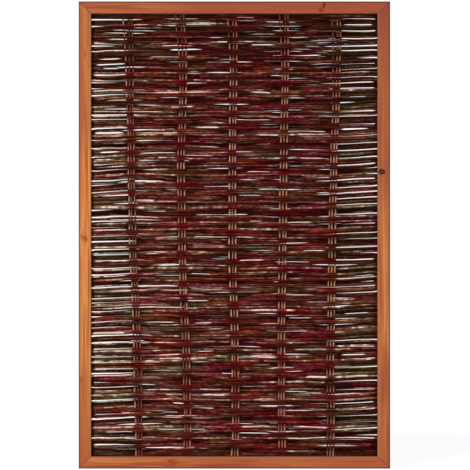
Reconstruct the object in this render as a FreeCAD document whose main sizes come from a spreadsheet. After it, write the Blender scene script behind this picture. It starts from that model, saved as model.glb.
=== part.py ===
import FreeCAD, Part
import Sketcher
import os

# Woven willow hurdle: a mat of willow rods woven over upright stakes, held in a mitred timber frame.
# Millimetres. X runs along the width, Z is up, the front faces -Y.
# The origin is the middle of the foot of the panel.

doc = FreeCAD.newDocument("willow_hurdle")
Vec = FreeCAD.Vector

# Driving sizes
SIZES = {
    # Frame: outer size, timber section, rounding of the long edges
    "panel_wide": 1200,
    "panel_high": 1800,
    "member_face": 48,
    "member_deep": 45,
    "arris_radius": 3,
    # Groove along the inner edge of each frame member, and its room beside the thickest rod
    "groove_deep": 14,
    "groove_play": 0.6,
    # Square tongue across each mitre
    "tongue_side": 24,
    "tongue_thick": 8,
    "tongue_inset": 8,
    "tongue_play": 0.1,
    # Upright stakes: thickness, step inside a cluster, room at the groove floor
    "stake_thick": 7,
    "stake_step": 11.5,
    "seat_play": 0.3,
    # Open width between frame and outer stake clusters, at the top and at the foot
    "left_span_top": 142,
    "right_span_top": 155,
    "left_span_foot": 184,
    "right_span_foot": 182,
    # Woven courses: pairs of opposite courses, height of the lowest course against the topmost
    "course_pairs": 32,
    "course_growth": 1.4,
    # Bundle of rods in a course: thickness of a rod, of the waist between two rods, open slit above
    "rod_deep": 7,
    "waist_deep": 1.8,
    "slit_high": 4,
    # Room between a course and the stakes it passes, and between its ends and the groove floor
    "lap_play": 0.2,
    "end_play": 2,
}

sizes = doc.addObject("Spreadsheet::Sheet", "Sizes")
for row, (alias, value) in enumerate(SIZES.items(), start=1):
    sizes.set(f"A{row}", alias)
    sizes.set(f"B{row}", str(value))
    sizes.setAlias(f"B{row}", alias)
doc.recompute()

# Make-up of the mat
CLUSTERS = 5
CLUSTER_STAKES = {"left": -1, "middle": 0, "right": 1}
RODS = 3
STAKE_SIDES = 6
STAKE_CORNER = "Sizes.stake_thick / sqrt(3)"
STAKE_HALF_FLAT = "Sizes.stake_thick / sqrt(12)"

# Sizes that follow from the driving ones
DERIVED = {
    "inside_wide": "Sizes.panel_wide - 2 * Sizes.member_face",
    "inside_high": "Sizes.panel_high - 2 * Sizes.member_face",
    "step_top": f"(Derived.inside_wide - Sizes.left_span_top - Sizes.right_span_top) / {CLUSTERS - 1}",
    "step_foot": f"(Derived.inside_wide - Sizes.left_span_foot - Sizes.right_span_foot) / {CLUSTERS - 1}",
    "left_span": "min(Sizes.left_span_top; Sizes.left_span_foot)",
    "right_span": "min(Sizes.right_span_top; Sizes.right_span_foot)",
    "near_span": "min(Derived.left_span; Derived.right_span)",
    "near_step": "min(min(Derived.step_top; Derived.step_foot); 2 * Derived.near_span)",
    "lap_reach": f"Sizes.stake_step + {STAKE_HALF_FLAT}",
    "lap": "(Sizes.stake_thick + Sizes.rod_deep) / 2 + Sizes.lap_play",
    "swing": "Derived.lap / (1 - 2 * Derived.lap_reach / Derived.near_step)",
    "end_drift": "Derived.swing * Sizes.groove_deep / Derived.near_span",
    "groove_wide": "max(Sizes.stake_thick; Sizes.rod_deep + 2 * Derived.end_drift) + 2 * Sizes.groove_play",
    "groove_floor": "Sizes.member_face - Sizes.groove_deep",
    "course_end": "Derived.inside_wide / 2 + Sizes.groove_deep - Sizes.end_play",
    "courses": "2 * round(Sizes.course_pairs)",
    "top_pitch": "2 * Derived.inside_high / (Derived.courses * (1 + Sizes.course_growth))",
    "foot_pitch": "Sizes.course_growth * Derived.top_pitch",
    "pitch_change": "(Derived.top_pitch - Derived.foot_pitch) / (Derived.courses - 1)",
}

derived = doc.addObject("App::VarSet", "Derived")
for name in DERIVED:
    derived.addProperty("App::PropertyFloat", name, "Derived", "")
for name, rule in DERIVED.items():
    derived.setExpression(name, rule)
doc.recompute()


def bind(thing, rules):
    """Ties properties of an object to the sizes."""
    for prop, rule in rules.items():
        thing.setExpression(prop, rule)


def origin_plane(body, role):
    """Finds one of a body's own base planes."""
    return [f for f in body.Origin.OriginFeatures if f.Role == role][0]


def sketch_on(body, role, name):
    """Adds a sketch lying on one of the body's base planes."""
    sketch = body.newObject("Sketcher::SketchObject", name)
    sketch.AttachmentSupport = [(origin_plane(body, role), "")]
    sketch.MapMode = "FlatFace"
    return sketch


def draw_points(sketch, points, closed):
    """Draws straight lines from corner to corner and ties each corner to the sizes.

    Each corner is a pair of rules, measured from the sketch's own origin.
    """
    count = len(points)
    spots = [Vec(index, index * index, 0) for index in range(count)]
    lines = count if closed else count - 1
    for index in range(lines):
        sketch.addGeometry(Part.LineSegment(spots[index], spots[(index + 1) % count]))
    ties = []
    for index in range(lines if closed else lines - 1):
        ties.append(Sketcher.Constraint("Coincident", index, 2, (index + 1) % lines, 1))
    first = len(ties)
    for index, spot in enumerate(spots):
        line, end = (index, 1) if index < lines else (lines - 1, 2)
        ties.append(Sketcher.Constraint("DistanceX", -1, 1, line, end, spot.x))
        ties.append(Sketcher.Constraint("DistanceY", -1, 1, line, end, spot.y))
    sketch.addConstraint(ties)
    for index, (across, up) in enumerate(points):
        sketch.setExpression(f"Constraints[{first + 2 * index}]", across)
        sketch.setExpression(f"Constraints[{first + 2 * index + 1}]", up)


# Frame members

def frame_member(label, length, turn, base):
    """A mitred, grooved timber: outer edge along X at the foot, inner edge above it, then turned."""
    body = doc.addObject("PartDesign::Body", label)
    outline = sketch_on(body, "XZ_Plane", f"{label}_outline")
    face = "Sizes.member_face"
    draw_points(outline, [
        (f"-{length} / 2", "0"),
        (f"{length} / 2", "0"),
        (f"{length} / 2 - {face}", face),
        (f"{face} - {length} / 2", face),
    ], closed=True)
    timber = body.newObject("PartDesign::Pad", f"{label}_timber")
    timber.Profile = outline
    timber.SideType = "Symmetric"
    bind(timber, {"Length": "Sizes.member_deep"})
    doc.recompute()

    # Rounded long edges
    long_edges = [
        f"Edge{number}" for number, edge in enumerate(timber.Shape.Edges, start=1)
        if edge.BoundBox.YLength < 0.001 and edge.BoundBox.ZLength < 0.001
    ]
    arris = body.newObject("PartDesign::Fillet", f"{label}_arris")
    arris.Base = (timber, long_edges)
    bind(arris, {"Radius": "Sizes.arris_radius"})

    # Groove for the stake and rod ends
    groove_line = sketch_on(body, "XZ_Plane", f"{label}_groove_line")
    draw_points(groove_line, [
        (f"-{length} / 2", "Derived.groove_floor"),
        (f"{length} / 2", "Derived.groove_floor"),
        (f"{length} / 2", "Sizes.member_face + Sizes.groove_deep"),
        (f"-{length} / 2", "Sizes.member_face + Sizes.groove_deep"),
    ], closed=True)
    groove = body.newObject("PartDesign::Pocket", f"{label}_groove")
    groove.Profile = groove_line
    groove.SideType = "Symmetric"
    bind(groove, {"Length": "Derived.groove_wide"})

    # Slots for the corner tongues
    near = "Sizes.tongue_inset - Sizes.tongue_play"
    side = "Sizes.tongue_side + 2 * Sizes.tongue_play"
    for end, corner in {
        "start": f"{near} - {length} / 2",
        "end": f"{length} / 2 - ({near}) - ({side})",
    }.items():
        slot = body.newObject("PartDesign::SubtractiveBox", f"{label}_slot_{end}")
        bind(slot, {
            "Length": side,
            "Width": "Sizes.tongue_thick + 2 * Sizes.tongue_play",
            "Height": side,
            "Placement.Base.x": corner,
            "Placement.Base.y": "-Sizes.tongue_thick / 2 - Sizes.tongue_play",
            "Placement.Base.z": near,
        })
    body.Placement = FreeCAD.Placement(Vec(0, 0, 0), FreeCAD.Rotation(Vec(0, 1, 0), turn))
    bind(body, {f"Placement.Base.{axis}": rule for axis, rule in base.items()})
    return body


nodes = [
    frame_member("bottom_rail", "Sizes.panel_wide", 0, {}),
    frame_member("top_rail", "Sizes.panel_wide", 180, {"z": "Sizes.panel_high"}),
    frame_member("left_stile", "Sizes.panel_high", 90,
                 {"x": "-Sizes.panel_wide / 2", "z": "Sizes.panel_high / 2"}),
    frame_member("right_stile", "Sizes.panel_high", -90,
                 {"x": "Sizes.panel_wide / 2", "z": "Sizes.panel_high / 2"}),
]

# Tongues hidden in the four mitres
tongues = []
for level, low in {
    "foot": "Sizes.tongue_inset",
    "top": "Sizes.panel_high - Sizes.tongue_inset - Sizes.tongue_side",
}.items():
    for hand, start in {
        "left": "Sizes.tongue_inset - Sizes.panel_wide / 2",
        "right": "Sizes.panel_wide / 2 - Sizes.tongue_inset - Sizes.tongue_side",
    }.items():
        tongue = doc.addObject("Part::Box", f"tongue_{level}_{hand}")
        bind(tongue, {
            "Length": "Sizes.tongue_side",
            "Width": "Sizes.tongue_thick",
            "Height": "Sizes.tongue_side",
            "Placement.Base.x": start,
            "Placement.Base.y": "-Sizes.tongue_thick / 2",
            "Placement.Base.z": low,
        })
        tongues.append(tongue)
corner_tongues = doc.addObject("Part::Compound", "corner_tongues")
corner_tongues.Links = tongues
nodes.append(corner_tongues)


# Upright stakes

def cluster_foot(cluster):
    """Place of a stake cluster along the width, at the foot of the opening."""
    return f"(Sizes.left_span_foot - Derived.inside_wide / 2 + {cluster} * Derived.step_foot)"


def cluster_shift(cluster):
    """How far a stake cluster moves sideways up to the top of the opening."""
    return (f"(Sizes.left_span_top - Sizes.left_span_foot"
            f" + {cluster} * (Derived.step_top - Derived.step_foot))")


for cluster in range(CLUSTERS):
    for hand, place in CLUSTER_STAKES.items():
        stake = doc.addObject("Part::Prism", f"stake_{cluster + 1}_{hand}")
        stake.Polygon = STAKE_SIDES
        lean = f"{cluster_shift(cluster)} / Derived.inside_high"
        rest = f"(Sizes.seat_play + {STAKE_CORNER} * abs({lean}))"
        foot = f"(Derived.groove_floor + {rest})"
        stake.Placement = FreeCAD.Placement(Vec(0, 0, 0), FreeCAD.Rotation(Vec(0, 1, 0), 1))
        bind(stake, {
            "Circumradius": STAKE_CORNER,
            "Height": f"(Sizes.panel_high - 2 * {foot}) / cos(atan({lean}))",
            "Placement.Base.x": (f"{cluster_foot(cluster)} + {place} * Sizes.stake_step"
                                 f" + {lean} * ({foot} - Sizes.member_face)"),
            "Placement.Base.z": foot,
            "Placement.Rotation.Angle": f"atan({lean})",
        })
        nodes.append(stake)


# Woven courses

def course_pitch(number):
    """Height taken by a course, counted from the foot."""
    return f"(Derived.foot_pitch + {number} * Derived.pitch_change)"


def course_middle(number):
    """Height of the middle of a course."""
    below = number * (number - 1) / 2
    return (f"(Sizes.member_face + {number} * Derived.foot_pitch"
            f" + {below} * Derived.pitch_change + {course_pitch(number)} / 2)")


def woven_course(number):
    """A bundle of rods swept in front of every other stake cluster and behind the ones between."""
    middle = course_middle(number)
    rise = f"({middle} - Sizes.member_face) / Derived.inside_high"

    # Way of the bundle, seen from above
    way = doc.addObject("Sketcher::SketchObject", f"way_{number + 1}")
    bind(way, {"Placement.Base.z": middle})
    stations = [("-Derived.course_end", "0")]
    for cluster in range(CLUSTERS):
        along = f"{cluster_foot(cluster)} + {cluster_shift(cluster)} * {rise}"
        stations.append((along, "-Derived.swing" if (number + cluster) % 2 else "Derived.swing"))
    stations.append(("Derived.course_end", "0"))
    draw_points(way, stations, closed=False)

    # Section of the bundle: rods one above the other, each a ridge on both sides
    rod = f"({course_pitch(number)} - Sizes.slit_high) / {RODS}"
    back = []
    for index in range(RODS):
        back.append(("Sizes.rod_deep / 2", f"{rod} * {index + 0.5 - RODS / 2}"))
        if index < RODS - 1:
            back.append(("Sizes.waist_deep / 2", f"{rod} * {index + 1 - RODS / 2}"))
    front = [(f"-{across}", up) for across, up in reversed(back)]
    section = doc.addObject("Sketcher::SketchObject", f"section_{number + 1}")
    section.Placement = FreeCAD.Placement(Vec(0, 0, 0), FreeCAD.Rotation(Vec(1, 1, 1), 120))
    bind(section, {"Placement.Base.x": "-Derived.course_end", "Placement.Base.z": middle})
    foot_point = [("0", f"-{rod} * {RODS / 2}")]
    top_point = [("0", f"{rod} * {RODS / 2}")]
    draw_points(section, foot_point + back + top_point + front, closed=True)

    course = doc.addObject("Part::Sweep", f"course_{number + 1}")
    course.Sections = [section]
    course.Spine = (way, [])
    course.Solid = True
    course.Transition = "Right corner"
    return course


for pair in range(round(sizes.get("course_pairs"))):
    course_pair = doc.addObject("Part::Compound", f"course_pair_{pair + 1:02d}")
    course_pair.Links = [woven_course(2 * pair), woven_course(2 * pair + 1)]
    nodes.append(course_pair)

doc.recompute()

# Each piece is sound before it is written
for thing in doc.Objects:
    if "Invalid" in thing.State or "Error" in thing.State:
        raise RuntimeError(f"{thing.Label} could not be made: {thing.State}")
os.makedirs("parts", exist_ok=True)
for node in nodes:
    if node.Shape.isNull() or not node.Shape.isValid():
        raise RuntimeError(f"{node.Label} has no sound shape")
    node.Shape.exportStep(f"parts/{node.Label}.step")
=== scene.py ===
import math
from collections import namedtuple

import bpy
import numpy as np
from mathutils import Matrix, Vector


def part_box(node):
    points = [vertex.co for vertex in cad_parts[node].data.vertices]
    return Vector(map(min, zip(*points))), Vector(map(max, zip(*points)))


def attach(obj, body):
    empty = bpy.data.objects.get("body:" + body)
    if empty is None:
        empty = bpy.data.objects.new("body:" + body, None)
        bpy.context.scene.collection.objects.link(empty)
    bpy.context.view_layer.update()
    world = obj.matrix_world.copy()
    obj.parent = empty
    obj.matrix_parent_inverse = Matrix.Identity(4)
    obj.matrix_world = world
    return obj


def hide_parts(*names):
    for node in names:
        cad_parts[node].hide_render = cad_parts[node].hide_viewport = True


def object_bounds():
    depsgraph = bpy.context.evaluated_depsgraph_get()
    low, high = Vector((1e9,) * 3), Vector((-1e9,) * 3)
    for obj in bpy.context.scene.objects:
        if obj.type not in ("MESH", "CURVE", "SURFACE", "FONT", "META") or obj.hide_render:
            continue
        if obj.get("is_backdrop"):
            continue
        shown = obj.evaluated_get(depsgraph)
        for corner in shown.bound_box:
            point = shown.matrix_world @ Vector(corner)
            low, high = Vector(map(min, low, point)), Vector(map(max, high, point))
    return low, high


# Woven willow hurdle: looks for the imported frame. Metres, +Z up, the front faces -Y.

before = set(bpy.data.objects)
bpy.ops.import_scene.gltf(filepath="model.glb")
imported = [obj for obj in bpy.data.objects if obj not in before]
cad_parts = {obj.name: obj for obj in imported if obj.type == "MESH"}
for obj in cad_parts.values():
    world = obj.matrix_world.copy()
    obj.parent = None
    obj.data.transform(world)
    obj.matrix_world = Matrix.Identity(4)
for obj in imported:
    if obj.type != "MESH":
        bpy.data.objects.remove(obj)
cad_low, cad_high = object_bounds()

PANEL_HALF = cad_high.x
PANEL_HIGH = cad_high.z
PANEL_HALF_DEEP = cad_high.y
OPENING_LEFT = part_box("left_stile")[1].x
OPENING_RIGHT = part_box("right_stile")[0].x
OPENING_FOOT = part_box("bottom_rail")[1].z
OPENING_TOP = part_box("top_rail")[0].z

# Make-up of the mat
CLUSTERS = 5
HANDS = ("left", "middle", "right")
PAIRS = 32
STAKE_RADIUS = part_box("stake_1_middle")[1].y
COURSE_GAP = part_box("course_pair_02")[0].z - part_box("course_pair_01")[1].z
ROD_END_LEFT, ROD_END_RIGHT = (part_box("course_pair_01")[side].x for side in (0, 1))

# Fineness of the tubes
ROD_STEPS = 140
ROD_SIDES = 7
STAKE_STEPS = 180
STAKE_SIDES = 12

# Stakes: bow of each cluster off its straight line, as height and sideways shift
CLUSTER_BOWS = (
    ((0.05, 0.0), (0.45, 0.003), (0.95, -0.004), (1.40, -0.002), (1.75, 0.004)),
    ((0.05, 0.004), (0.45, 0.003), (0.80, -0.006), (1.15, -0.007), (1.50, 0.006), (1.75, 0.007)),
    ((0.05, 0.006), (0.45, 0.003), (0.85, -0.005), (1.20, -0.004), (1.50, 0.002), (1.75, 0.005)),
    ((0.05, -0.004), (0.45, -0.006), (0.95, -0.004), (1.25, -0.002), (1.50, 0.003), (1.75, 0.002)),
    ((0.05, 0.002), (0.45, -0.005), (0.85, -0.006), (1.15, -0.005), (1.50, 0.002), (1.75, 0.004)),
)
BOW_REACH = 0.2
TOP_SPLAY = 0.010  # how far the left stake of a cluster leans away at the top
SPLAY_FROM = 1.45

# Stakes: wander, thickness as shares of the CAD radius, and buds placed by shares of the length
STAKE_WAVES = (1.3, 0.6, 0.28)
STAKE_WANDER = 0.0030
STILL_ENDS = 1 / 12
FOOT_THICK = 0.87
STAKE_TAPER = 0.14
STAKE_SPREAD = (0.92, 1.04)
FIRST_BUD = (0.02, 0.06)
BUD_STEP = 0.055
BUD_HALF = 0.005
BUD_SWELL = 0.1

# Stakes: tones, and terms by height that darken them: how much, from which height, full at which height
STAKE_TONES = (0.25, 1.0)
STAKE_DARKER = ((0.30, 0.70, 0.30), (0.32, 1.40, 1.65))

# Stakes: middle and half extent of the heights where they are dry and pale, rosy above and below
DRY_MIDDLE = 0.70
DRY_HALF = 0.28
DRY_EASE = 0.3
DRY_MOST = 0.6

# Rods of a course: number and thickness, with their spread
ROD_PITCH = 0.0040
ROD_COUNTS = (3, 9)
COUNT_SPREAD = 0.5
THICK_SPREAD = 0.22
THICK_RANGE = (0.6, 1.45)
COURSE_SPREAD = 0.13
ROD_TAPER = 0.15

# Lie of the rods
NEST_IN_COURSE = 0.65  # height between two neighbours as a share of the sum of their radii
NEST_BETWEEN_COURSES = 0.72
MEAN_SLIT = 0.0003  # height that the slits take up for each rod
LAP = 0.0003  # clearance between a rod and the stakes
PLATEAU = 0.0165  # half the length on which a rod keeps to one side of a stake cluster
DRIFT_RODS = 9.0  # rods over which the pile is brought back to its level
FIRST_WAVES = (0.5, 0.21)
STEP_WAVES = (0.5, 0.21, 0.11)
STEP_WAVE = 0.0006
GROOVE_EASE = 0.045  # length on which a bundle spreads out of the groove
GROOVE_SHARE = 0.35  # how much of its spread it has in the groove
SWAY = 0.0017
SWAY_LENGTHS = (0.50, 0.28, 0.16)
SWAY_FROM_RAILS = 0.03
STAKE_CALM = 0.7  # share of the sway that is missing at the stakes
OUTER_CALM = 0.7  # share of it that is missing in the outer spans

# Rise and fall that neighbouring courses share
LEFT_FALL = 0.006
RIGHT_RISE = 0.008
MAT_WAVE = 0.0014
MAT_WAVE_LENGTH = 0.47
MAT_WAVE_LEAN = 2.1  # wave lengths that it shifts sideways in a metre of height
MAT_WAVE_START = 2.2
MAT_FROM_FOOT = 0.2
MAT_FROM_TOP = 0.4

# Every how many rods there is a slit in the left, right and inner spans, and a pale stretch
EVERY = {"left_slits": 6.0, "right_slits": 6.4, "inner_slits": 2.5, "pale": 3.0}
UNEVEN = 0.22

# Slits between neighbouring rods: narrowest and widest opening
LEFT_SLITS = (0.0039, 0.0075)
RIGHT_SLITS = (0.0039, 0.0068)
INNER_SLITS = (0.0020, 0.0041)
INNER_LENGTHS = (0.07, 0.24)
INNER_FADE = 0.2  # share by which the inner ones are narrower at the right
SLIT_ENDS = (0.08, 0.35)  # share of a slit's length that each end takes to taper
SLITS_FROM_FOOT = (0.022, 0.034)  # distances from the rail where slits set in and where they are full
SLITS_FROM_TOP = (0.002, 0.007)
STAKE_GRIPS = (0.2, 1.0)  # share of a slit that a stake cluster closes
STAKE_GRIP_REACH = (0.016, 0.006)

# Slits of the outer spans: draws up to which each kind goes, and shapes as shares of the way to the stakes
WEDGES_TO = 0.62
SHORT_WEDGES_TO = 0.76
FAR_SLITS_TO = 0.92
WEDGE_ENDS = (0.25, 0.8)
SHORT_WEDGE_REACH = (0.35, 0.8)
FAR_STARTS = (0.0, 0.4)
FAR_EASE = 0.6
FAR_OPEN = 0.8
MIDDLE_STARTS = (0.05, 0.25)
MIDDLE_ENDS = (0.75, 0.95)
PAST_STAKES = (0.05, 0.6)
SHUT_AT_LEFT = 0.2  # share of them that close just before the stile
SHUT_AT_RIGHT = 0.5
SHUT_FOR = 0.003
SHUT_EASE = (0.006, 0.024)

# Tones of the rods, from 0 for dark to 1 for pale
TONE_BETA = (1.7, 2.3)
TONE_STEPS = 7
TONE_MIDDLE = 0.45
TONE_WAVES = (0.3, 0.12, 0.05, 0.025)
TONE_WAVE = 0.42
OUTER_CONTRAST = 0.45
BETA_DRAWS = 5000

# Pale weathered stretches, placed as shares of the way from stile to stile
PALE_LIFT = 0.64
PALE_STRENGTHS = (0.5, 1)
PALE_LENGTHS = (0.06, 0.26)
PALE_BETA = (0.5, 0.6)
PALE_STEPS = 9
PALE_STRAY = 0.05

# Where rods are darker or lighter
TONE_ALL = 0.025
TONE_LEFT_SPAN = -0.015
TONE_RIGHT_SPAN = -0.05
TONE_SECOND_SPAN = 0.04
# Painted shade that grows towards the right, for light falling off from the left
SHADE_TO_RIGHT = -0.09
TONE_BY_HEIGHT = ((-0.14, 1.30, 1.70), (0.045, 0.60, 0.30))
SPAN_EASE = 0.06
SECOND_SPAN_EASE = 0.04
LEFT_SHADE, LEFT_SHADE_WIDE = 0.42, 0.0075
RIGHT_SHADE, RIGHT_SHADE_WIDE = 0.34, 0.018
TOP_SHADE, TOP_SHADE_WIDE = 0.10, 0.006
FOOT_SHADE, FOOT_SHADE_REACH = 0.11, (0.039, 0.009)

# Rods at the stakes: how far they go to the tone there, which is for in front and for behind, and to its hue
STAKE_SHADE = 0.6
STAKE_SHADE_WIDE = 0.021
STAKE_SIDE_TONE = (0.21, 0.36)
STAKE_SIDE_PLUM = 0.65
STAKE_SIDE_MOSS_LOSS = 0.3

# Where rods are olive
MOSS_ALL = 0.20
MOSS_PATCHES = 0.27
MOSS_LEFT_SPAN = 0.22
MOSS_RIGHT_SPAN = 0.36
MOSS_SPAN_EASE = 0.08
MOSS_TOP = ((0.18, 1.5, 1.7),)
MOSS_TOP_RIGHT = ((0.16, 1.2, 1.5),)
MOSS_RIGHT_REACH = 0.4

# Where rods are plum rather than russet
PLUM_ALL = 0.31
PLUM_PATCHES = 0.28
PLUM_RIGHT = 0.27
PLUM_RIGHT_EASE = 0.1
PLUM_HIGH_RIGHT = ((0.15, 1.05, 1.25),)

# Patches of hue: how many waves they are made of, and waves to a metre along the rods and across them
PATCH_WAVES = 14
PATCH_RUNS = (0.8, 3.6)
PATCH_RISES = (4.0, 15.0)

# Waves of hue along a rod: lengths and height
HUE_WAVES = (0.6, 0.25)
HUE_WAVE = 0.3

WAVE_HEIGHTS = (0.4, 1.0)
SEED_SPREAD = 9
chance = np.random.default_rng(1871)


def srgb(red, green, blue):
    """A colour given in display steps of 255, as the linear colour a shader takes."""
    def linear(step):
        share = step / 255
        return share / 12.92 if share <= 0.04045 else ((share + 0.055) / 1.055) ** 2.4
    return (linear(red), linear(green), linear(blue), 1.0)


def tint(stain, factors):
    """A colour given as factors of another one's display steps."""
    return srgb(*(step * factor for step, factor in zip(stain, factors)))


def smooth(share):
    """Eases from 0 to 1 as the share does."""
    share = np.clip(share, 0, 1)
    return share * share * (3 - 2 * share)


def eased(value, start, end):
    """Eases from 0 at start to 1 at end."""
    return smooth((value - start) / (end - start))


def right_of(along, edge, over):
    """Eases from 0 on the left of an edge to 1 on its right."""
    return smooth((along - edge) / over + 0.5)


def left_of(along, edge, over):
    """Eases from 1 on the left of an edge to 0 on its right."""
    return 1 - right_of(along, edge, over)


def bell(value, middle, wide):
    """1 in the middle, easing to 0 on both sides."""
    return np.exp(-((value - middle) / wide) ** 2)


def by_height(height, terms):
    """Sum of terms: how much, the height where it sets in and the height where it is full."""
    return sum(amount * eased(height, start, full) for amount, start, full in terms)


# Shader graphs

class Shader:
    """Short ways to add nodes to a new material or world."""

    def __init__(self, owner):
        owner.use_nodes = True
        self.owner = owner
        self.tree = owner.node_tree
        self.tree.nodes.clear()

    def add(self, kind, inputs=None, **settings):
        """Adds a node. An input is a number, a colour or another node's output."""
        node = self.tree.nodes.new(kind)
        for key, value in settings.items():
            setattr(node, key, value)
        for key, value in (inputs or {}).items():
            if isinstance(value, bpy.types.NodeSocket):
                self.tree.links.new(value, node.inputs[key])
            else:
                node.inputs[key].default_value = value
        return node

    def math(self, operation, first, second=0.0):
        return self.add("ShaderNodeMath", {0: first, 1: second}, operation=operation).outputs[0]

    def about_zero(self, noise, factor):
        """A noise shifted to vary about 0, times a factor."""
        return self.math("MULTIPLY", self.math("SUBTRACT", noise, 0.5), factor)

    def ease(self, value, start, end, to_start=0.0, to_end=1.0):
        """Eases from one output to another as the value goes from start to end."""
        return self.add("ShaderNodeMapRange", {0: value, 1: start, 2: end, 3: to_start, 4: to_end},
                        interpolation_type="SMOOTHSTEP").outputs[0]

    def mix(self, share, first, second):
        return self.add("ShaderNodeMix", {0: share, 6: first, 7: second}, data_type="RGBA").outputs[2]

    def ramp(self, value, stops):
        """A colour ramp from pairs of place and colour."""
        node = self.add("ShaderNodeValToRGB", {0: value})
        elements = node.color_ramp.elements
        while len(elements) < len(stops):
            elements.new(0.5)
        for element, (place, colour) in zip(elements, stops):
            element.position = place
            element.color = colour
        return node.outputs[0]

    def noise(self, parts, factors, detail, rough=0.55, twist=0.0):
        """Noise over three coordinates, each times its factor."""
        scaled = [self.math("MULTIPLY", part, factor) for part, factor in zip(parts, factors)]
        vector = self.add("ShaderNodeCombineXYZ", dict(enumerate(scaled))).outputs[0]
        return self.add("ShaderNodeTexNoise", {
            "Vector": vector, "Scale": 1.0, "Detail": detail, "Roughness": rough, "Distortion": twist,
        }).outputs[0]

    def place(self):
        """The three coordinates of a point of the object."""
        coords = self.add("ShaderNodeTexCoord").outputs["Object"]
        return self.add("ShaderNodeSeparateXYZ", {0: coords}).outputs

    def value_of(self, name):
        """A value that the mesh carries."""
        return self.add("ShaderNodeAttribute", attribute_name=name).outputs["Fac"]

    def surface(self, colour, rough, height, bump, depth, specular):
        """Ends the graph in a plain surface with a bump, and gives the material."""
        bumped = self.add("ShaderNodeBump", {"Strength": bump, "Distance": depth, "Height": height})
        shader = self.add("ShaderNodeBsdfPrincipled", {
            "Base Color": colour, "Roughness": rough, "Normal": bumped.outputs[0],
            "Specular IOR Level": specular,
        })
        self.add("ShaderNodeOutputMaterial", {0: shader.outputs[0]})
        return self.owner


# Timber

# A member's middle colour, its fade (how much darker it is at places along it), edges and knots
Timber = namedtuple("Timber", "stain fade edges knots")

# Shares of a painted highlight, painted shade and a painted shadow at the inner edge, and of a redder tint
# along the outer one
Edges = namedtuple("Edges", "wear shade grime outer_shade")

# Place, radius, how much shorter than wide it is, turn in degrees, darkness and how much of that is a rim
Knot = namedtuple("Knot", "along across radius squash turn dark ring")

# Noise to a metre across the member, through it and along it
KNOT_NOISE = (95, 95, 95)
BAND_NOISE = (66, 66, 1.7)
FIBRE_NOISE = (230, 230, 5)
DRIFT_NOISE = (11, 11, 3.1)

# Colours of the grain, of patches and of marks as factors of the stain
GRAIN_TINTS = (
    (0.31, (0.76, 0.60, 0.62)),
    (0.45, (0.97, 0.92, 0.97)),
    (0.56, (1.03, 1.06, 0.97)),
    (0.68, (1.10, 1.28, 1.40)),
)
REDDER_TINT = (0.75, 0.58, 0.68)
HALO_TINT = (0.80, 0.62, 0.55)
SPOT_TINT = (0.50, 0.24, 0.02)
# Colour of the painted highlight on the inner arris
HIGHLIGHT_TINT = (1.02, 1.2, 1.4)
RIM_COLOUR = srgb(40, 18, 1)
DIRT_COLOUR = srgb(58, 26, 16)
# Colour of the painted shade on the outer arrises and of the painted shadow along the inner edge
PAINTED_SHADE_COLOUR = srgb(58, 28, 20)

# Knots: sizes as shares of the radius, and strengths
KNOT_UNEVEN = 0.7
KNOT_PULL_REACH = 2.6
KNOT_PULL = 0.7
RIM_MIDDLE = 0.68
RIM_EDGE = (0.2, 0.6)
SPOT_EDGE = (0.2, 1.0)
RIM_FROM_SPOT = 0.12
HALO_SHARE = 0.3

# Marks of the edges: distances where they are full and where they end, and shares where these are fixed
MITRE_DIRT = (0.0006, 0.0030, 0.7, 0.0)
# Painted shade along the outer arrises
ARRIS_SHADE = (0.0020, 0.0075, 0.92, 0.0)
INNER_SHADE = (0.004, 0.034)
OUTER_SHADE = (0.010, 0.030)
# Painted highlight along the inner arris
INNER_HIGHLIGHT = (0.0025, 0.0060)
# Painted shadow in the gap between the mat and the inner face
INNER_GAP_SHADOW = (0.0010, 0.0045)

FIBRES_IN_GRAIN = 0.6
BANDS_IN_BUMP = 0.6
DRIFT_SHADE = (0.45, 0.7, 0.0, 0.5)
TIMBER_ROUGH = (0.3, 0.7, 0.5, 0.68)
TIMBER_FINISH = {"bump": 0.3, "depth": 0.0005, "specular": 0.22}


def knot_marks(s, along, across, uneven, knots):
    """The place across bent round the knots, and the shares of rim, spot and halo."""
    bent, rims, spots, halo = across, 0.0, 0.0, 0.0
    for knot in knots:
        off_along = s.math("SUBTRACT", along, knot.along)
        off_across = s.math("SUBTRACT", across, knot.across)
        cos, sin = math.cos(math.radians(knot.turn)), math.sin(math.radians(knot.turn))
        u = s.math("ADD", s.math("MULTIPLY", off_along, knot.squash * cos),
                   s.math("MULTIPLY", off_across, knot.squash * sin))
        v = s.math("SUBTRACT", s.math("MULTIPLY", off_across, cos), s.math("MULTIPLY", off_along, sin))
        away = s.math("SQRT", s.math("ADD", s.math("MULTIPLY", u, u), s.math("MULTIPLY", v, v)))
        away = s.math("ADD", away, s.about_zero(uneven, KNOT_UNEVEN * knot.radius))
        pull = s.ease(away, 0.0, KNOT_PULL_REACH * knot.radius, 1.0, 0.0)
        bent = s.math("SUBTRACT", bent, s.math("MULTIPLY", s.math("MULTIPLY", off_across, pull), KNOT_PULL))
        off_rim = s.math("ABSOLUTE", s.math("SUBTRACT", away, RIM_MIDDLE * knot.radius))
        rim = s.ease(off_rim, *(share * knot.radius for share in RIM_EDGE), knot.dark * knot.ring, 0.0)
        fill = knot.dark * (1 - RIM_FROM_SPOT * knot.ring)
        spot = s.ease(away, *(share * knot.radius for share in SPOT_EDGE), fill, 0.0)
        rims = s.math("MAXIMUM", rim, rims)
        spots = s.math("MAXIMUM", spot, spots)
        halo = s.math("MAXIMUM", pull, halo)
    return bent, rims, spots, halo


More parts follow.
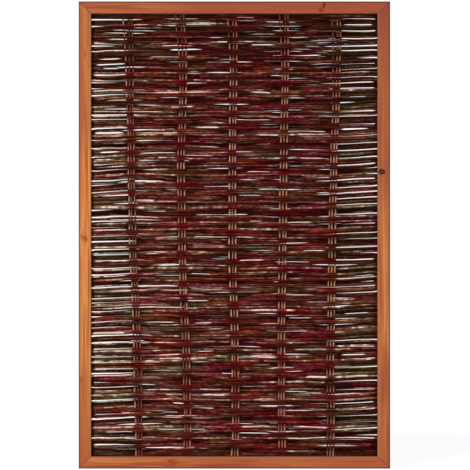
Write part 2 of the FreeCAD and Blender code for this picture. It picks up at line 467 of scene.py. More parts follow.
def edge_marks(s, colour, spot, upright, look):
    """Adds dirt in the mitres, painted shade on the outer arrises, painted shade, a painted highlight and a
    painted shadow along the inner edge, and a redder tint along the outer edge.
    """
    x, y, z = spot
    wide = OPENING_LEFT + PANEL_HALF if upright else OPENING_FOOT
    from_side = s.math("SUBTRACT", PANEL_HALF, s.math("ABSOLUTE", x))
    from_end = s.math("MINIMUM", z, s.math("SUBTRACT", PANEL_HIGH, z))
    from_face = s.math("SUBTRACT", PANEL_HALF_DEEP, s.math("ABSOLUTE", y))
    from_outer = s.math("MINIMUM", from_side, from_end)
    from_inner = s.math("SUBTRACT", wide, from_outer)
    off_mitre = s.math("ABSOLUTE", s.math("SUBTRACT", from_side, from_end))
    outer_arris = s.math("MAXIMUM", from_face, from_outer)
    inner_arris = s.math("MAXIMUM", from_inner, from_face)
    redder = tint(look.stain, REDDER_TINT)
    # Mitre dirt, painted shade on the outer arris and at the inner edge, a redder tint at the outer edge, a
    # painted highlight on the inner arris and a painted shadow at the inner face
    for share, mark in (
        (s.ease(off_mitre, *MITRE_DIRT), DIRT_COLOUR),
        (s.ease(outer_arris, *ARRIS_SHADE), PAINTED_SHADE_COLOUR),
        (s.ease(from_inner, *INNER_SHADE, look.edges.shade, 0.0), redder),
        (s.ease(from_outer, *OUTER_SHADE, look.edges.outer_shade, 0.0), redder),
        (s.ease(inner_arris, *INNER_HIGHLIGHT, look.edges.wear, 0.0), tint(look.stain, HIGHLIGHT_TINT)),
        (s.ease(from_inner, *INNER_GAP_SHADOW, look.edges.grime, 0.0), PAINTED_SHADE_COLOUR),
    ):
        colour = s.mix(share, colour, mark)
    return colour


def timber(name, upright, look):
    """Stained softwood with its grain along the member, knots, dirty mitres, and painted shade, painted
    shadow and a painted highlight along the edges.
    """
    s = Shader(bpy.data.materials.new(name))
    x, y, z = s.place()
    along, across = (z, x) if upright else (x, z)

    # Grain lines part around the knots
    uneven = s.noise((across, y, along), KNOT_NOISE, detail=1.0)
    bent, rims, spots, halo = knot_marks(s, along, across, uneven, look.knots)
    bands = s.noise((bent, y, along), BAND_NOISE, detail=3.0, rough=0.6, twist=0.4)
    fibres = s.noise((bent, y, along), FIBRE_NOISE, detail=3.0)
    drift = s.noise((across, y, along), DRIFT_NOISE, detail=2.0)

    grain = s.math("ADD", bands, s.about_zero(fibres, FIBRES_IN_GRAIN))
    colour = s.ramp(grain, [(place, tint(look.stain, factors)) for place, factors in GRAIN_TINTS])
    low, high = (0.0, PANEL_HIGH) if upright else (-PANEL_HALF, PANEL_HALF)
    share = s.math("DIVIDE", s.math("SUBTRACT", along, low), high - low)
    darker = s.ramp(share, [(place, (value, value, value, 1.0)) for place, value in look.fade])
    redder = tint(look.stain, REDDER_TINT)
    colour = s.mix(darker, colour, redder)
    colour = s.mix(s.ease(drift, *DRIFT_SHADE), colour, redder)
    colour = s.mix(s.math("MULTIPLY", halo, HALO_SHARE), colour, tint(look.stain, HALO_TINT))
    colour = s.mix(spots, colour, tint(look.stain, SPOT_TINT))
    colour = s.mix(rims, colour, RIM_COLOUR)
    colour = edge_marks(s, colour, (x, y, z), upright, look)

    rough = s.ease(fibres, *TIMBER_ROUGH)
    height = s.math("ADD", fibres, s.math("MULTIPLY", bands, BANDS_IN_BUMP))
    return s.surface(colour, rough, height, **TIMBER_FINISH)


# Bark

# Colours from dark to pale in three hues, and those of streaks, flecks and buds
Bark = namedtuple("Bark", "russet plum moss streak fleck bud")

# Noise to a metre
BARK_ALONG = 9
BARK_ACROSS = 160
FLECKS_FINER = 4
PATCH_NOISE = (14, 14, 14)
BUD_NOISE = (21, 7, 1)

# Shares of each mark: from and to which noise value, and the shares there
STREAK_SHARE = (0.42, 0.72, 0.0, 0.55)
FLECK_SHARE = (0.62, 0.72, 0.0, 0.5)
BUD_SHARE = (0.66, 0.72, 0.0, 0.7)
PATCHES_IN_TONE = 0.5
FLECKS_IN_BUMP = 0.5
BARK_ROUGH = (0.3, 0.7, 0.45, 0.65)
BARK_FINISH = {"bump": 0.4, "depth": 0.0007, "specular": 0.03}


def bark(name, along_x, look):
    """Willow bark: each rod's own tone and hue, streaks and flecks along it, dark buds, a dull gloss."""
    s = Shader(bpy.data.materials.new(name))
    seed = s.value_of("seed")
    shifted = [s.math("ADD", part, seed) for part in s.place()]
    scales = (BARK_ALONG, BARK_ACROSS, BARK_ACROSS) if along_x else (BARK_ACROSS, BARK_ACROSS, BARK_ALONG)
    streaks = s.noise(shifted, scales, detail=3.0, rough=0.6)
    flecks = s.noise(shifted, [FLECKS_FINER * scale for scale in scales], detail=2.0)
    patches = s.noise(shifted, PATCH_NOISE, detail=2.0)
    buds = s.noise((s.value_of("run"), seed, 0.0), BUD_NOISE, detail=0.0)

    shade = s.math("ADD", s.value_of("tone"), s.about_zero(patches, PATCHES_IN_TONE))
    colour = s.mix(s.value_of("plum"), s.ramp(shade, look.russet), s.ramp(shade, look.plum))
    colour = s.mix(s.value_of("moss"), colour, s.ramp(shade, look.moss))
    colour = s.mix(s.ease(streaks, *STREAK_SHARE), colour, look.streak)
    colour = s.mix(s.ease(flecks, *FLECK_SHARE), colour, look.fleck)
    colour = s.mix(s.ease(buds, *BUD_SHARE), colour, look.bud)
    rough = s.ease(streaks, *BARK_ROUGH)
    height = s.math("ADD", streaks, s.math("MULTIPLY", flecks, FLECKS_IN_BUMP))
    return s.surface(colour, rough, height, **BARK_FINISH)


# Tubes

def tube(points, radii, sides, reference):
    """Corners and faces of a closed round tube along a line of points."""
    heading = np.gradient(points, axis=0)
    heading /= np.linalg.norm(heading, axis=1)[:, None]
    side = np.cross(heading, reference)
    side /= np.linalg.norm(side, axis=1)[:, None]
    up = np.cross(side, heading)
    angles = np.arange(sides) * 2 * math.pi / sides
    ring = np.cos(angles)[None, :, None] * side[:, None, :] + np.sin(angles)[None, :, None] * up[:, None, :]
    corners = (points[:, None, :] + radii[:, None, None] * ring).reshape(-1, 3)
    count = len(points)
    faces = []
    for step in range(count - 1):
        here, there = step * sides, (step + 1) * sides
        for edge in range(sides):
            after = (edge + 1) % sides
            faces.append((here + edge, there + edge, there + after, here + after))
    faces.append(tuple(range(sides)))
    faces.append(tuple(reversed(range((count - 1) * sides, count * sides))))
    return corners, faces


def tube_piece(name, tubes, material, nodes):
    """One shown piece made of several tubes, each with its own looks, riding in place of CAD nodes."""
    corners, faces, values = [], [], {key: [] for key in ("tone", "plum", "moss", "seed", "run")}
    start = 0
    for part in tubes:
        points, sides = part["points"], part["sides"]
        found, quads = tube(points, part["radii"], sides, part["reference"])
        corners.append(found)
        faces += [tuple(start + corner for corner in face) for face in quads]
        start += len(found)
        length = np.concatenate(([0], np.cumsum(np.linalg.norm(np.diff(points, axis=0), axis=1))))
        for key in ("tone", "plum", "moss"):
            values[key].append(np.repeat(part[key], sides))
        values["seed"].append(np.full(len(found), part["seed"]))
        values["run"].append(np.repeat(length, sides))
    mesh = bpy.data.meshes.new(name)
    mesh.from_pydata(np.concatenate(corners).tolist(), [], faces)
    for key, parts in values.items():
        attribute = mesh.attributes.new(key, "FLOAT", "POINT")
        attribute.data.foreach_set("value", np.concatenate(parts).astype(np.float32))
    mesh.polygons.foreach_set("use_smooth", [True] * len(mesh.polygons))
    mesh.materials.append(material)
    piece = bpy.data.objects.new(name, mesh)
    bpy.context.scene.collection.objects.link(piece)
    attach(piece, "root")
    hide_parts(*nodes)


def slow_waves(along, lengths, size):
    """A gentle random wander: one sine for each wave length."""
    total = np.zeros_like(along)
    for length in lengths:
        total += np.sin(2 * math.pi * (along / length + chance.random())) * chance.uniform(*WAVE_HEIGHTS)
    return total * size / len(lengths)


# Stakes

def stake_ends(name):
    """Foot and top of a CAD stake's middle line."""
    corners = np.array([vertex.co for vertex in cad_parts[name].data.vertices])
    middle = corners[:, 2].mean()
    return corners[corners[:, 2] < middle].mean(axis=0), corners[corners[:, 2] > middle].mean(axis=0)


CLUSTER_LINES = [stake_ends(f"stake_{cluster + 1}_middle") for cluster in range(CLUSTERS)]


def cluster_bow(cluster, height):
    """How far a stake cluster bows off its straight line at a height."""
    spots, shifts = zip(*CLUSTER_BOWS[cluster])
    near = bell(np.asarray(height)[..., None], np.array(spots), BOW_REACH)
    return (near * np.array(shifts)).sum(axis=-1) / near.sum(axis=-1)


def cluster_x(cluster, height):
    """Where a stake cluster stands at a height."""
    foot, top = CLUSTER_LINES[cluster]
    straight = foot[0] + (top[0] - foot[0]) * (height - foot[2]) / (top[2] - foot[2])
    return straight + cluster_bow(cluster, height)


def cluster_places(height):
    """Where all stake clusters stand at a height, from left to right."""
    return [cluster_x(cluster, height) for cluster in range(CLUSTERS)]


def stake(cluster, hand):
    """A round stake, thicker at the foot, that wanders a little and swells at its buds."""
    foot, top = stake_ends(f"stake_{cluster + 1}_{hand}")
    share = np.linspace(0, 1, STAKE_STEPS)
    points = foot + (top - foot) * share[:, None]
    height = points[:, 2]
    free = eased(share, 0, STILL_ENDS) * eased(share, 1, 1 - STILL_ENDS)
    points[:, 0] += free * slow_waves(height, STAKE_WAVES, STAKE_WANDER)
    points[:, 0] += free * cluster_bow(cluster, height)
    if hand == "left":
        points[:, 0] -= TOP_SPLAY * eased(height, SPLAY_FROM, PANEL_HIGH)
    radii = STAKE_RADIUS * (FOOT_THICK - STAKE_TAPER * share) * chance.uniform(*STAKE_SPREAD)
    for bud in np.arange(chance.uniform(*FIRST_BUD), 1, BUD_STEP):
        radii = radii * (1 + BUD_SWELL * bell(share, bud, BUD_HALF))
    off_dry = np.abs(height - DRY_MIDDLE)
    dry = eased(off_dry, DRY_HALF + DRY_EASE / 2, DRY_HALF - DRY_EASE / 2)
    return {
        "points": points, "radii": np.minimum(radii, STAKE_RADIUS), "sides": STAKE_SIDES,
        "reference": (0.0, 1.0, 0.0),
        "tone": chance.uniform(*STAKE_TONES) - by_height(height, STAKE_DARKER),
        "plum": eased(off_dry, DRY_HALF, DRY_HALF + DRY_EASE),
        "moss": chance.uniform(0, DRY_MOST) * dry,
        "seed": chance.uniform(0, SEED_SPREAD),
    }


# Slits

def slit(along, first, last, opening):
    """A thin slit that tapers to both ends."""
    share = (along - first) / (last - first)
    opens, closes = chance.uniform(*SLIT_ENDS, 2)
    return opening * np.clip(share / opens, 0, 1) * np.clip((1 - share) / closes, 0, 1)


def outer_slit(along, stile, stakes, shut, openings):
    """A slit of an outer span. Most are wedges that narrow from the stile towards the stakes."""
    away = np.sign(stakes - stile) * (along - stile)
    share = away / abs(stakes - stile)
    kind = chance.random()
    if kind < WEDGES_TO:
        shape = 1 - (1 - chance.uniform(*WEDGE_ENDS)) * np.clip(share, 0, 1)
    elif kind < SHORT_WEDGES_TO:
        shape = np.clip(1 - share / chance.uniform(*SHORT_WEDGE_REACH), 0, 1)
    elif kind < FAR_SLITS_TO:
        shape = FAR_OPEN * smooth((share - chance.uniform(*FAR_STARTS)) / FAR_EASE)
    else:
        shape = slit(share, chance.uniform(*MIDDLE_STARTS), chance.uniform(*MIDDLE_ENDS), 1.0)
    shape = shape * np.clip(1 - (share - 1) / chance.uniform(*PAST_STAKES), 0, 1)
    if chance.random() < shut:
        shape = shape * smooth((away - SHUT_FOR) / chance.uniform(*SHUT_EASE))
    return chance.uniform(*openings) * shape


def slits(along, rod):
    """How far a rod stands off the one below along its length. Stakes close slits, some only in part."""
    height = rod["level"]
    places = cluster_places(height)
    total = np.zeros_like(along)
    if rod["left_slits"]:
        total += outer_slit(along, OPENING_LEFT, places[0], SHUT_AT_LEFT, LEFT_SLITS)
    if rod["right_slits"]:
        total += outer_slit(along, OPENING_RIGHT, places[-1], SHUT_AT_RIGHT, RIGHT_SLITS)

    # The inner spans have them by turns, narrower towards the right
    if rod["inner_slits"]:
        share = (rod["turn"] + chance.random()) / (CLUSTERS - 1)
        middle = places[0] + (places[-1] - places[0]) * share
        length = chance.uniform(*INNER_LENGTHS)
        opening = chance.uniform(*INNER_SLITS) * (1 - INNER_FADE * share)
        total += slit(along, middle - length / 2, middle + length / 2, opening)
    for place in places:
        total *= 1 - chance.choice(STAKE_GRIPS) * eased(np.abs(along - place), *STAKE_GRIP_REACH)
    total *= eased(height - OPENING_FOOT, *SLITS_FROM_FOOT)
    return total * eased(OPENING_TOP - height, *SLITS_FROM_TOP)


# Lie of the rods

def dealt(hand, count):
    """Values dealt in shuffled hands, so that each stretch of the mat gets its share of them."""
    hands = [chance.permutation(hand) for _ in range(math.ceil(count / len(hand)))]
    return np.concatenate(hands)[:count]


def dealt_to(marks, hand):
    """Values dealt to the marked rods only, and 0 for the others."""
    values = np.zeros(len(marks))
    marked = np.flatnonzero(marks)
    values[marked] = dealt(hand, len(marked))
    return values


def steps_of_beta(first, second, steps):
    """Evenly likely values of a beta draw."""
    return np.quantile(chance.beta(first, second, BETA_DRAWS), (np.arange(steps) + 0.5) / steps)


def spaced(step, count):
    """Marks one in so many rods, at uneven steps."""
    marks = np.zeros(count, dtype=int)
    places = np.arange(chance.uniform(0, step), count, step)
    places = places + chance.uniform(-UNEVEN, UNEVEN, len(places)) * step
    marks[np.clip(places.round().astype(int), 0, count - 1)] = 1
    return marks


def draw_rods(courses, along):
    """Rods of every course from the foot up, each with its course number, radii along it and level."""
    rods = []
    for number, (middle, pitch) in enumerate(courses):
        count = int(np.clip(round(pitch / ROD_PITCH + chance.normal(0, COUNT_SPREAD)), *ROD_COUNTS))
        thick = np.clip(chance.normal(1, THICK_SPREAD, count), *THICK_RANGE)
        nested = NEST_IN_COURSE * (thick[:-1] + thick[1:]).sum() / 2
        nested += NEST_BETWEEN_COURSES * (thick[0] + thick[-1]) / 2
        thick *= (pitch - count * MEAN_SLIT) / nested * chance.uniform(1 - COURSE_SPREAD, 1 + COURSE_SPREAD)
        steps = np.cumsum(thick) - thick / 2
        for index in range(count):
            taper = 1 + chance.choice((-1, 1)) * ROD_TAPER * along / PANEL_HALF
            rods.append({
                "number": number, "middle": middle, "radii": thick[index] / 2 * taper,
                "level": middle + pitch * (steps[index] / thick.sum() - 0.5),
            })
    return rods


def mark_rods(rods):
    """Deals out tones, slits and pale stretches to the rods."""
    marks = {key: spaced(step, len(rods)) for key, step in EVERY.items()}
    marks["tone"] = dealt(steps_of_beta(*TONE_BETA, TONE_STEPS), len(rods))
    marks["turn"] = dealt_to(marks["inner_slits"], range(CLUSTERS - 1))
    marks["pale_at"] = dealt_to(marks["pale"], steps_of_beta(*PALE_BETA, PALE_STEPS))
    for key, values in marks.items():
        for rod, value in zip(rods, values):
            rod[key] = value


def pile_up(rods, along):
    """Heights of the rods, each laid on the one below it."""
    heights = [rods[0]["level"] + slow_waves(along, FIRST_WAVES, STEP_WAVE)]
    for under, over in zip(rods, rods[1:]):
        nest = NEST_IN_COURSE if under["number"] == over["number"] else NEST_BETWEEN_COURSES
        step = nest * (under["radii"] + over["radii"]) + slits(along, over)
        heights.append(heights[-1] + step + slow_waves(along, STEP_WAVES, STEP_WAVE))
    heights = np.array(heights)

    # Take out the drift that builds up over several courses
    levels = np.array([rod["level"] for rod in rods])[:, None]
    order = np.arange(len(rods))
    weights = np.exp(-((order[:, None] - order[None, :]) / DRIFT_RODS) ** 2 / 2)
    weights /= weights.sum(axis=1)[:, None]
    stray = heights - levels
    heights = levels + stray - weights @ stray

    # Draw the first and last rods to the rails
    at_foot = OPENING_FOOT + rods[0]["radii"] - heights[0]
    at_top = OPENING_TOP - rods[-1]["radii"] - heights[-1]
    heights += at_foot * np.exp(-order / DRIFT_RODS)[:, None]
    heights += at_top * np.exp(-order[::-1] / DRIFT_RODS)[:, None]
    return heights


def mat_wander(along, height):
    """Rise and fall that neighbouring courses share."""
    room = eased(height - OPENING_FOOT, 0, MAT_FROM_FOOT) * eased(OPENING_TOP - height, 0, MAT_FROM_TOP)
    first, *_, last = cluster_places(height)
    waves = -LEFT_FALL * np.clip((first - along) / (first - OPENING_LEFT), 0, 1)
    waves += RIGHT_RISE * np.clip((along - last) / (OPENING_RIGHT - last), 0, 1)
    turns = along / MAT_WAVE_LENGTH - MAT_WAVE_LEAN * height
    waves += MAT_WAVE * np.sin(2 * math.pi * turns + MAT_WAVE_START)
    return room * waves


def at_stakes(along, height):
    """1 where a rod passes a stake cluster, easing to 0 beside it."""
    near = [np.exp(-((along - place) / STAKE_SHADE_WIDE) ** 4) for place in cluster_places(height)]
    return np.max(near, axis=0)


def rod_sway(along, rod):
    """A rod's own wander up and down, with less of it at the rails, at the stakes and in the outer spans."""
    room = smooth(min(rod["level"] - OPENING_FOOT, OPENING_TOP - rod["level"]) / SWAY_FROM_RAILS)
    first, *_, last = cluster_places(rod["middle"])
    outside = (along < first) | (along > last)
    calm = np.where(outside, OUTER_CALM, STAKE_CALM * at_stakes(along, rod["middle"]))
    return room * (1 - calm) * slow_waves(along, SWAY_LENGTHS, SWAY)


def lay_courses(courses):
    """Rods of every course from the foot up, with their radii, their marks and the heights along them."""
    along = np.linspace(ROD_END_LEFT, ROD_END_RIGHT, ROD_STEPS)
    rods = draw_rods(courses, along)
    mark_rods(rods)
    for rod, heights in zip(rods, pile_up(rods, along)):
        rod["along"] = along
        rod["heights"] = heights + mat_wander(along, rod["middle"]) + rod_sway(along, rod)
    return rods


# Looks of the rods

def pale_stretch(along, share):
    """A weathered stretch about a share of the way along."""
    share = share + chance.uniform(-PALE_STRAY, PALE_STRAY)
    middle = OPENING_LEFT + (OPENING_RIGHT - OPENING_LEFT) * share
    half = chance.uniform(*PALE_LENGTHS) / 2
    return PALE_LIFT * chance.uniform(*PALE_STRENGTHS) * eased(np.abs(along - middle), 2 * half, half)


def outer_span(along, height):
    """1 in the spans beside the stiles, 0 between the outer stakes."""
    first, *_, last = cluster_places(height)
    return left_of(along, first, SPAN_EASE) + right_of(along, last, SPAN_EASE)


def patchwork():
    """A random field over the mat, about -1 to 1, that changes faster across the rods than along them."""
    runs, rises = chance.uniform(*PATCH_RUNS, PATCH_WAVES), chance.uniform(*PATCH_RISES, PATCH_WAVES)
    starts, turns = chance.random(PATCH_WAVES), chance.random(PATCH_WAVES)

    def field(along, height):
        sideways = np.sin(2 * math.pi * (along[:, None] * runs + starts))
        upwards = np.sin(2 * math.pi * (height[:, None] * rises + turns))
        return 2 * (sideways * upwards).sum(axis=1) / math.sqrt(PATCH_WAVES)
    return field


moss_patches = patchwork()
plum_patches = patchwork()


def moss_trend(along, height):
    """Rods are more olive in the outer spans and near the top, most of all at the top right."""
    first, *_, last = cluster_places(height)
    spans = MOSS_LEFT_SPAN * left_of(along, first, MOSS_SPAN_EASE)
    spans += MOSS_RIGHT_SPAN * right_of(along, last, MOSS_SPAN_EASE)
    top_right = by_height(height, MOSS_TOP_RIGHT) * eased(along, last - MOSS_RIGHT_REACH, last)
    return MOSS_ALL + spans + top_right + by_height(height, MOSS_TOP)


def plum_trend(along, height):
    """Rods are russet in the two left spans and more plum to the right of them, above all high up."""
    second = cluster_x(1, height)
    trend = PLUM_ALL + PLUM_RIGHT * right_of(along, second, PLUM_RIGHT_EASE)
    return trend + by_height(height, PLUM_HIGH_RIGHT) * eased(along, second, second + PLUM_RIGHT_EASE)


def tone_trend(along, height):
    """Rods are darker in the outer spans and high up, with painted shade that grows to the right and painted
    shade along the frame.
    """
    first, second, *_, last = cluster_places(height.mean())
    in_second = eased(along, first, first + SECOND_SPAN_EASE) * left_of(along, second, SPAN_EASE)
    tone = TONE_LEFT_SPAN * left_of(along, first, SPAN_EASE)
    tone += TONE_RIGHT_SPAN * right_of(along, last, SPAN_EASE)
    tone += SHADE_TO_RIGHT * eased(along, first, last) + TONE_SECOND_SPAN * in_second
    tone += TONE_ALL + by_height(height, TONE_BY_HEIGHT)
    # Painted shade of the frame on the rods next to the stiles and rails
    tone -= LEFT_SHADE * bell(along, OPENING_LEFT, LEFT_SHADE_WIDE)
    tone -= RIGHT_SHADE * bell(along, OPENING_RIGHT, RIGHT_SHADE_WIDE)
    tone -= FOOT_SHADE * eased(height - OPENING_FOOT, *FOOT_SHADE_REACH)
    tone -= TOP_SHADE * bell(height, OPENING_TOP, TOP_SHADE_WIDE)
    return tone


def rod_looks(along, rod, side):
    """Tone, olive and plum along a rod."""
    tone = rod["tone"] + (rod["tone"] - TONE_MIDDLE) * OUTER_CONTRAST * outer_span(along, rod["middle"])
    tone = tone + slow_waves(along, TONE_WAVES, TONE_WAVE) + tone_trend(along, rod["heights"])
    if rod["pale"]:
        tone = tone + pale_stretch(along, rod["pale_at"])
    moss = moss_trend(along, rod["middle"]) + slow_waves(along, HUE_WAVES, HUE_WAVE)
    moss += MOSS_PATCHES * moss_patches(along, rod["heights"])
    plum = plum_trend(along, rod["middle"]) + slow_waves(along, HUE_WAVES, HUE_WAVE)
    plum += PLUM_PATCHES * plum_patches(along, rod["heights"])

    # Rods are dark and plum where they pass the stakes
    tight = STAKE_SHADE * at_stakes(along, rod["middle"])
    tone += (np.where(side < 0, *STAKE_SIDE_TONE) - tone) * tight
    moss *= 1 - STAKE_SIDE_MOSS_LOSS * tight
    plum += (STAKE_SIDE_PLUM - plum) * tight
    return {"tone": tone, "moss": np.clip(moss, 0, 1), "plum": np.clip(plum, 0, 1)}


# Woven courses

def weave(along, height, number):
    """Which side a course is on: -1 in front of the stakes, 1 behind, 0 in the grooves."""
    places = [ROD_END_LEFT] + cluster_places(height) + [ROD_END_RIGHT]
    sides = [0] + [-1 if (number + cluster) % 2 else 1 for cluster in range(CLUSTERS)] + [0]
    result = np.zeros_like(along)
    for index in range(len(places) - 1):
        start = places[index] + (PLATEAU if index else 0)
        end = places[index + 1] - (PLATEAU if index + 2 < len(places) else 0)
        here = (along >= places[index]) & (along <= places[index + 1])
        share = eased(along[here], start, end)
        result[here] = sides[index] + (sides[index + 1] - sides[index]) * share
    return result


def crowding(rods):
    """How far each rod of a course has to step aside because it overlaps its neighbours."""
    crowd = [np.zeros_like(rod["heights"]) for rod in rods]
    for index in range(len(rods) - 1):
        reach = rods[index]["radii"] + rods[index + 1]["radii"]
        apart = rods[index + 1]["heights"] - rods[index]["heights"]
        aside = np.sqrt(np.maximum(reach ** 2 - apart ** 2, 0))
        crowd[index] = np.maximum(crowd[index], aside)
        crowd[index + 1] = np.maximum(crowd[index + 1], aside)
    return crowd


def course_tubes(rods):
    """Tubes of one course's rods: they weave round the stakes and step aside where they overlap."""
    along = rods[0]["along"]
    side = weave(along, rods[0]["middle"], rods[0]["number"])
    from_ends = np.minimum(along - ROD_END_LEFT, ROD_END_RIGHT - along)
    loose = GROOVE_SHARE + (1 - GROOVE_SHARE) * smooth(from_ends / GROOVE_EASE)
    turn = chance.choice((-1, 1))
    tubes = []
    for rod, crowd in zip(rods, crowding(rods)):
        turn = -turn
        depth = side * (STAKE_RADIUS + LAP + rod["radii"]) + loose * crowd * (turn + side) / 2
        deepest = PANEL_HALF_DEEP - rod["radii"]
        depth = np.clip(depth, -deepest, deepest)
        tubes.append({
            "points": np.stack([along, depth, rod["heights"]], axis=1),
            "radii": rod["radii"], "sides": ROD_SIDES, "reference": (0.0, 0.0, 1.0),
            **rod_looks(along, rod, side), "seed": chance.uniform(0, SEED_SPREAD),
        })
    return tubes


# Looks of the frame and of the mat

FRAME_LOOKS = {
    "left_stile": Timber(
        stain=(220, 139, 68),
        fade=((0.0, 0.8), (0.17, 0.6), (0.25, 0.15), (0.45, 0.0), (0.65, 0.1), (0.74, 0.65), (1.0, 0.65)),
        edges=Edges(wear=0.45, shade=0.0, grime=0.5, outer_shade=0.38),
        knots=(
            Knot(along=1.597, across=-0.577, radius=0.010, squash=0.8, turn=0, dark=0.22, ring=0.4),
            Knot(along=0.888, across=-0.577, radius=0.012, squash=0.5, turn=-50, dark=0.55, ring=0.0),
            Knot(along=0.342, across=-0.589, radius=0.011, squash=0.7, turn=20, dark=0.45, ring=0.0),
        ),
    ),
    "right_stile": Timber(
        stain=(190, 111, 61),
        fade=((0.0, 0.6), (0.17, 0.3), (0.27, 0.05), (0.36, 0.2), (0.45, 0.0), (0.55, 0.15), (0.62, 0.55),
              (0.83, 0.6), (1.0, 1.0)),
        edges=Edges(wear=0.3, shade=0.0, grime=0.0, outer_shade=0.0),
        knots=(Knot(along=1.143, across=0.5675, radius=0.0135, squash=1.35, turn=5, dark=0.95, ring=1.0),),
    ),
    "top_rail": Timber(
        stain=(198, 114, 60),
        fade=((0.1, 0.05), (0.23, 0.35), (0.4, 0.75), (0.7, 0.75), (0.9, 0.8)),
        edges=Edges(wear=0.0, shade=0.5, grime=0.3, outer_shade=0.0),
        knots=(
            Knot(along=0.345, across=1.784, radius=0.019, squash=2.6, turn=-15, dark=1.5, ring=0.0),
            Knot(along=0.332, across=1.766, radius=0.012, squash=1.25, turn=30, dark=1.6, ring=0.0),
        ),
    ),
    "bottom_rail": Timber(
        stain=(191, 106, 58),
        fade=((0.05, 0.0), (0.2, 0.2), (0.5, 0.3), (0.85, 0.55)),
        edges=Edges(wear=0.3, shade=0.0, grime=0.9, outer_shade=0.0),
        knots=(
            Knot(along=-0.2496, across=0.0283, radius=0.007, squash=0.8, turn=0, dark=0.65, ring=0.0),
            Knot(along=-0.2380, across=0.0240, radius=0.020, squash=0.8, turn=30, dark=0.25, ring=0.0),
        ),
    ),
}
TONGUE_LOOK = Timber(
    stain=(196, 140, 92),
    fade=((0.0, 0.0), (1.0, 0.0)),
    edges=Edges(wear=0.0, shade=0.0, grime=0.0, outer_shade=0.0),
    knots=(),
)
STAKE_LOOK = Bark(
    russet=(
        (0.0, srgb(106, 54, 36)),
        (0.25, srgb(138, 84, 60)),
        (0.55, srgb(178, 126, 94)),
        (1.0, srgb(208, 164, 128)),
    ),
    plum=(
        (0.0, srgb(108, 52, 38)),
        (0.25, srgb(142, 82, 64)),
        (0.55, srgb(184, 122, 98)),
        (1.0, srgb(212, 160, 134)),
    ),
    moss=(
        (0.0, srgb(112, 80, 46)),
        (1.0, srgb(192, 160, 112)),
    ),
    streak=srgb(112, 64, 42), fleck=srgb(208, 168, 128), bud=srgb(88, 50, 36),
)
ROD_LOOK = Bark(
    russet=(
        (0.00, srgb(46, 5, 0)),
        (0.18, srgb(80, 11, 2)),
        (0.36, srgb(108, 24, 9)),
        (0.52, srgb(118, 46, 25)),
        (0.66, srgb(128, 74, 50)),
        (0.80, srgb(154, 106, 80)),
        (0.92, srgb(194, 150, 126)),
        (1.00, srgb(242, 210, 188)),
    ),
    plum=(
        (0.00, srgb(46, 0, 7)),
        (0.18, srgb(78, 0, 16)),
        (0.36, srgb(104, 7, 31)),
        (0.52, srgb(115, 31, 43)),
        (0.66, srgb(124, 63, 65)),
        (0.80, srgb(150, 99, 92)),
        (0.92, srgb(194, 150, 134)),
        (1.00, srgb(242, 210, 192)),
    ),
    moss=(
        (0.00, srgb(34, 19, 8)),
        (0.36, srgb(75, 51, 25)),
        (0.66, srgb(107, 87, 55)),
        (0.88, srgb(152, 131, 102)),
        (1.00, srgb(226, 206, 180)),
    ),
    streak=srgb(50, 4, 4), fleck=srgb(142, 66, 54), bud=srgb(26, 4, 3),
)

# Frame

def dress(node, material):
    """Gives a CAD node its material."""
    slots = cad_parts[node].data.materials
    slots.clear()
    slots.append(material)


for node, look in FRAME_LOOKS.items():
    dress(node, timber(f"timber_{node}", node.endswith("stile"), look))
dress("corner_tongues", timber("timber_tongue", False, TONGUE_LOOK))

# Mat

stake_bark = bark("stake_bark", False, STAKE_LOOK)
rod_bark = bark("rod_bark", True, ROD_LOOK)
for cluster in range(CLUSTERS):
    for hand in HANDS:
        node = f"stake_{cluster + 1}_{hand}"
        tube_piece(f"{node}_rod", [stake(cluster, hand)], stake_bark, [node])

# Middle and pitch of each course, from the boxes of the pairs
courses = []
for pair in range(PAIRS):
    low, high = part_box(f"course_pair_{pair + 1:02d}")
    tall = (high.z - low.z - COURSE_GAP) / 2
    courses += [(middle, tall + COURSE_GAP) for middle in (low.z + tall / 2, high.z - tall / 2)]
rods = lay_courses(courses)
for pair in range(PAIRS):
    node = f"course_pair_{pair + 1:02d}"
    tubes = []
    for number in (2 * pair, 2 * pair + 1):
        tubes += course_tubes([rod for rod in rods if rod["number"] == number])
    tube_piece(f"{node}_rods", tubes, rod_bark, [node])

# Stage: pale floor, white surround, soft light from the upper left

FLOOR_HALF = 150.0
FLOOR_GLOW = 0.9
WHITE = (1.0, 1.0, 1.0, 1.0)
MATT_GREY = (0.42, 0.42, 0.42, 1.0)
WORLD_LIGHT = 0.12
LAMP_AWAY = 6


def seen_directly(s):
    """1 for what the camera, a gloss or glass sees, 0 for the light that the object gets."""
    rays = s.add("ShaderNodeLightPath").outputs
    seen = s.math("MAXIMUM", rays["Is Camera Ray"], rays["Is Glossy Ray"])
    return s.math("MAXIMUM", seen, rays["Is Transmission Ray"])


def pale_floor():
    """A floor that looks white with the object's shadow on it, and lights the object as grey."""
    s = Shader(bpy.data.materials.new("floor_pale"))
    matt = s.add("ShaderNodeBsdfDiffuse", {"Color": MATT_GREY})
    white = s.add("ShaderNodeBsdfDiffuse", {"Color": WHITE})
    glow = s.add("ShaderNodeEmission", {"Color": WHITE, "Strength": 1.0})
    shown = s.add("ShaderNodeMixShader", {0: FLOOR_GLOW, 1: white.outputs[0], 2: glow.outputs[0]})
    both = s.add("ShaderNodeMixShader", {0: seen_directly(s), 1: matt.outputs[0], 2: shown.outputs[0]})
    s.add("ShaderNodeOutputMaterial", {0: both.outputs[0]})
    return s.owner


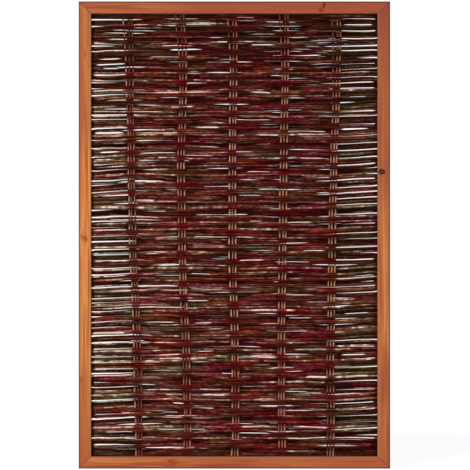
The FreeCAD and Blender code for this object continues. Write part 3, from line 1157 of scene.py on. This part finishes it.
def surround():
    """A world that looks white and gives the object a little light."""
    s = Shader(bpy.data.worlds.new("surround"))
    strength = s.math("MAXIMUM", seen_directly(s), WORLD_LIGHT)
    background = s.add("ShaderNodeBackground", {"Color": WHITE, "Strength": strength})
    s.add("ShaderNodeOutputWorld", {0: background.outputs[0]})
    return s.owner


def lamp(name, turn, rise, spread, power):
    """A far soft lamp that shines on the panel from a side and a height, in degrees."""
    turn, rise = math.radians(turn), math.radians(rise)
    back = Vector((math.sin(turn) * math.cos(rise), -math.cos(turn) * math.cos(rise), math.sin(rise)))
    light = bpy.data.lights.new(name, "SUN")
    light.angle = math.radians(spread)
    light.energy = power
    holder = bpy.data.objects.new(name, light)
    holder.location = LAMP_AWAY * back
    holder.rotation_euler = (-back).to_track_quat("-Z", "Y").to_euler()
    bpy.context.scene.collection.objects.link(holder)


floor_corners = [(FLOOR_HALF * x, FLOOR_HALF * y, 0) for x, y in ((-1, -1), (1, -1), (1, 1), (-1, 1))]
mesh = bpy.data.meshes.new("floor")
mesh.from_pydata(floor_corners, [], [(0, 1, 2, 3)])
floor = bpy.data.objects.new("floor", mesh)
bpy.context.scene.collection.objects.link(floor)
floor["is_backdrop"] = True
floor.data.materials.append(pale_floor())
bpy.context.scene.world = surround()
lamp("key", turn=-30, rise=44, spread=10, power=2.75)
lamp("front", turn=12, rise=12, spread=60, power=0.80)
lamp("fill", turn=150, rise=40, spread=40, power=1.9)

# Camera: straight on, framed as in the photograph

PHOTO_SIDE = 470
PHOTO_METRES_PER_PIXEL = 0.003852
PHOTO_SHIFT_PIXELS = 0.6
CAMERA_AWAY = 9.0
SENSOR_WIDE = 36.0
VIEW_REACH = 200.0
lens = bpy.data.cameras.new("camera")
lens.sensor_width = SENSOR_WIDE
lens.lens = SENSOR_WIDE * CAMERA_AWAY / (PHOTO_SIDE * PHOTO_METRES_PER_PIXEL)
lens.clip_end = VIEW_REACH
camera = bpy.data.objects.new("camera", lens)
camera.location = (PHOTO_SHIFT_PIXELS * PHOTO_METRES_PER_PIXEL, cad_low.y - CAMERA_AWAY, PANEL_HIGH / 2)
camera.rotation_euler = (math.radians(90), 0, 0)
bpy.context.scene.collection.objects.link(camera)
bpy.context.scene.camera = camera
bpy.context.scene.view_settings.view_transform = "Standard"

low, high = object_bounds()
